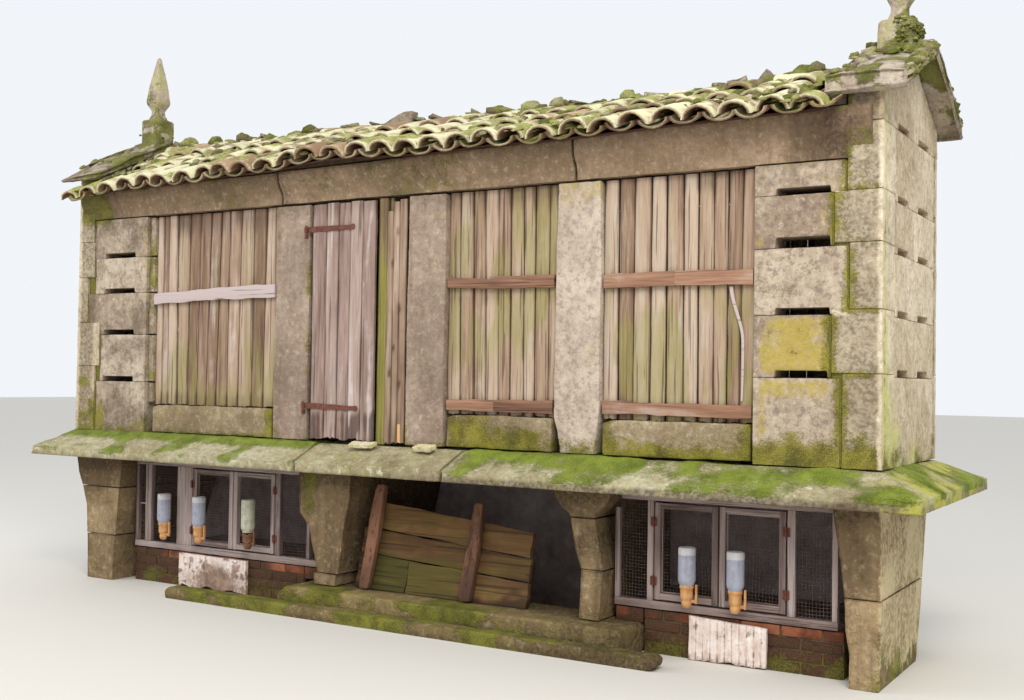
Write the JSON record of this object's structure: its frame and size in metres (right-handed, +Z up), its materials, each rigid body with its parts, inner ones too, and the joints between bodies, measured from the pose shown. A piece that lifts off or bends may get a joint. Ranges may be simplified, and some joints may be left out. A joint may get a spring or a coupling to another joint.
{
  "type": "raised granary",
  "caption": "Long narrow stone granary raised on piers, with slatted timber bays, a strap-hinged plank door, tiled roof with finials, and mesh-fronted hutches in the undercroft.",
  "frame": {"origin": "on the ground, at the centre of the ledge outline", "axes": "+X along the front to the right, seen from in front of the door; +Y from the door front to the rear; +Z up"},
  "size_m": [6.65, 1.84, 4.19],
  "materials": {
    "bottle_plastic": "cloudy translucent plastic",
    "brick": "red brick, dirty and mossy",
    "granite_base": "rough weathered granite",
    "granite_lintel": "rough weathered granite, dark olive-brown",
    "granite_wall": "rough weathered granite with lichen and moss",
    "grey_render": "grey cement render",
    "hutch_wood": "grey weathered battens",
    "mossy_coping": "granite under moss and lichen",
    "mossy_ledge": "granite slabs with lichen and moss",
    "mossy_plank": "old thick planks with moss",
    "mossy_step": "stone slab under moss",
    "roof_tile": "fired clay barrel tiles under moss and lichen",
    "rusty_iron": "rusted wrought iron",
    "slat_wood": "unpainted weathered boards",
    "stake_wood": "rough brown stakes",
    "white_board": "limewashed board, stained"
  },
  "bodies": {
    "granary": {"apron_boards": "white_board", "back_panels": "granite_wall", "chamber_floor": "granite_base", "coping_left": "mossy_coping", "coping_right": "mossy_coping", "door_pintles": "rusty_iron", "door_side_plank": "slat_wood", "drinker_left_a": "bottle_plastic", "end_wall_left": "granite_wall", "end_wall_right": "granite_wall", "finial_left": "mossy_coping", "finial_right": "mossy_coping", "front_panel_left": "granite_wall", "front_panel_right": "granite_wall", "front_step_beam": "mossy_step", "hutch_floors": "hutch_wood", "hutch_frame_left": "hutch_wood", "hutch_frame_right": "hutch_wood", "hutch_low_walls": "brick", "ledge_back": "mossy_ledge", "ledge_front_left": "mossy_ledge", "ledge_front_middle": "mossy_ledge", "ledge_front_right": "mossy_ledge", "ledge_left_end": "mossy_ledge", "ledge_right_end": "mossy_ledge", "lintels_back": "granite_lintel", "lintels_front": "granite_lintel", "pier_left": "granite_base", "pier_right": "granite_base", "pier_second": "granite_base", "pier_third": "granite_base", "pilasters_back": "granite_wall", "pilasters_front": "granite_wall", "plank_screen": "mossy_plank", "rails_front": "slat_wood", "rear_base_wall": "grey_render", "ridge_cap": "roof_tile", "roof_front_slope": "roof_tile", "roof_rear_slope": "roof_tile", "screen_stakes": "stake_wood", "sill_slab": "mossy_step", "sills_back": "granite_wall", "sills_front": "granite_wall", "slats_back": "slat_wood", "slats_front": "slat_wood"},
    "door": {"door_leaf": "slat_wood", "door_straps": "rusty_iron"},
    "hutch_door_right_a": {"hutch_door_right_a": "hutch_wood", "drinker_right_a": "bottle_plastic"},
    "hutch_door_right_b": {"hutch_door_right_b": "hutch_wood", "drinker_right_b": "bottle_plastic"},
    "hutch_door_left_a": {"hutch_door_left_a": "hutch_wood", "drinker_left_b": "bottle_plastic"},
    "hutch_door_left_b": {"hutch_door_left_b": "hutch_wood", "drinker_left_c": "bottle_plastic"}
  },
  "joints": [
    {"name": "door_hinge", "type": "hinge", "parent": "granary", "child": "door", "pos_m": [-0.797, -0.668, 1.95], "axis": [0, 0, -1], "range_deg": [0, 100]},
    {"name": "hutch_right_a_hinge", "type": "hinge", "parent": "granary", "child": "hutch_door_right_a", "pos_m": [1.73, -0.5065, 0.59], "axis": [0, 0, -1], "range_deg": [0, 95]},
    {"name": "hutch_right_b_hinge", "type": "hinge", "parent": "granary", "child": "hutch_door_right_b", "pos_m": [2.516, -0.5065, 0.59], "axis": [0, 0, 1], "range_deg": [0, 95]},
    {"name": "hutch_left_a_hinge", "type": "hinge", "parent": "granary", "child": "hutch_door_left_a", "pos_m": [-1.994, -0.5065, 0.59], "axis": [0, 0, -1], "range_deg": [0, 95]},
    {"name": "hutch_left_b_hinge", "type": "hinge", "parent": "granary", "child": "hutch_door_left_b", "pos_m": [-1.182, -0.5065, 0.59], "axis": [0, 0, 1], "range_deg": [0, 95]}
  ]
}
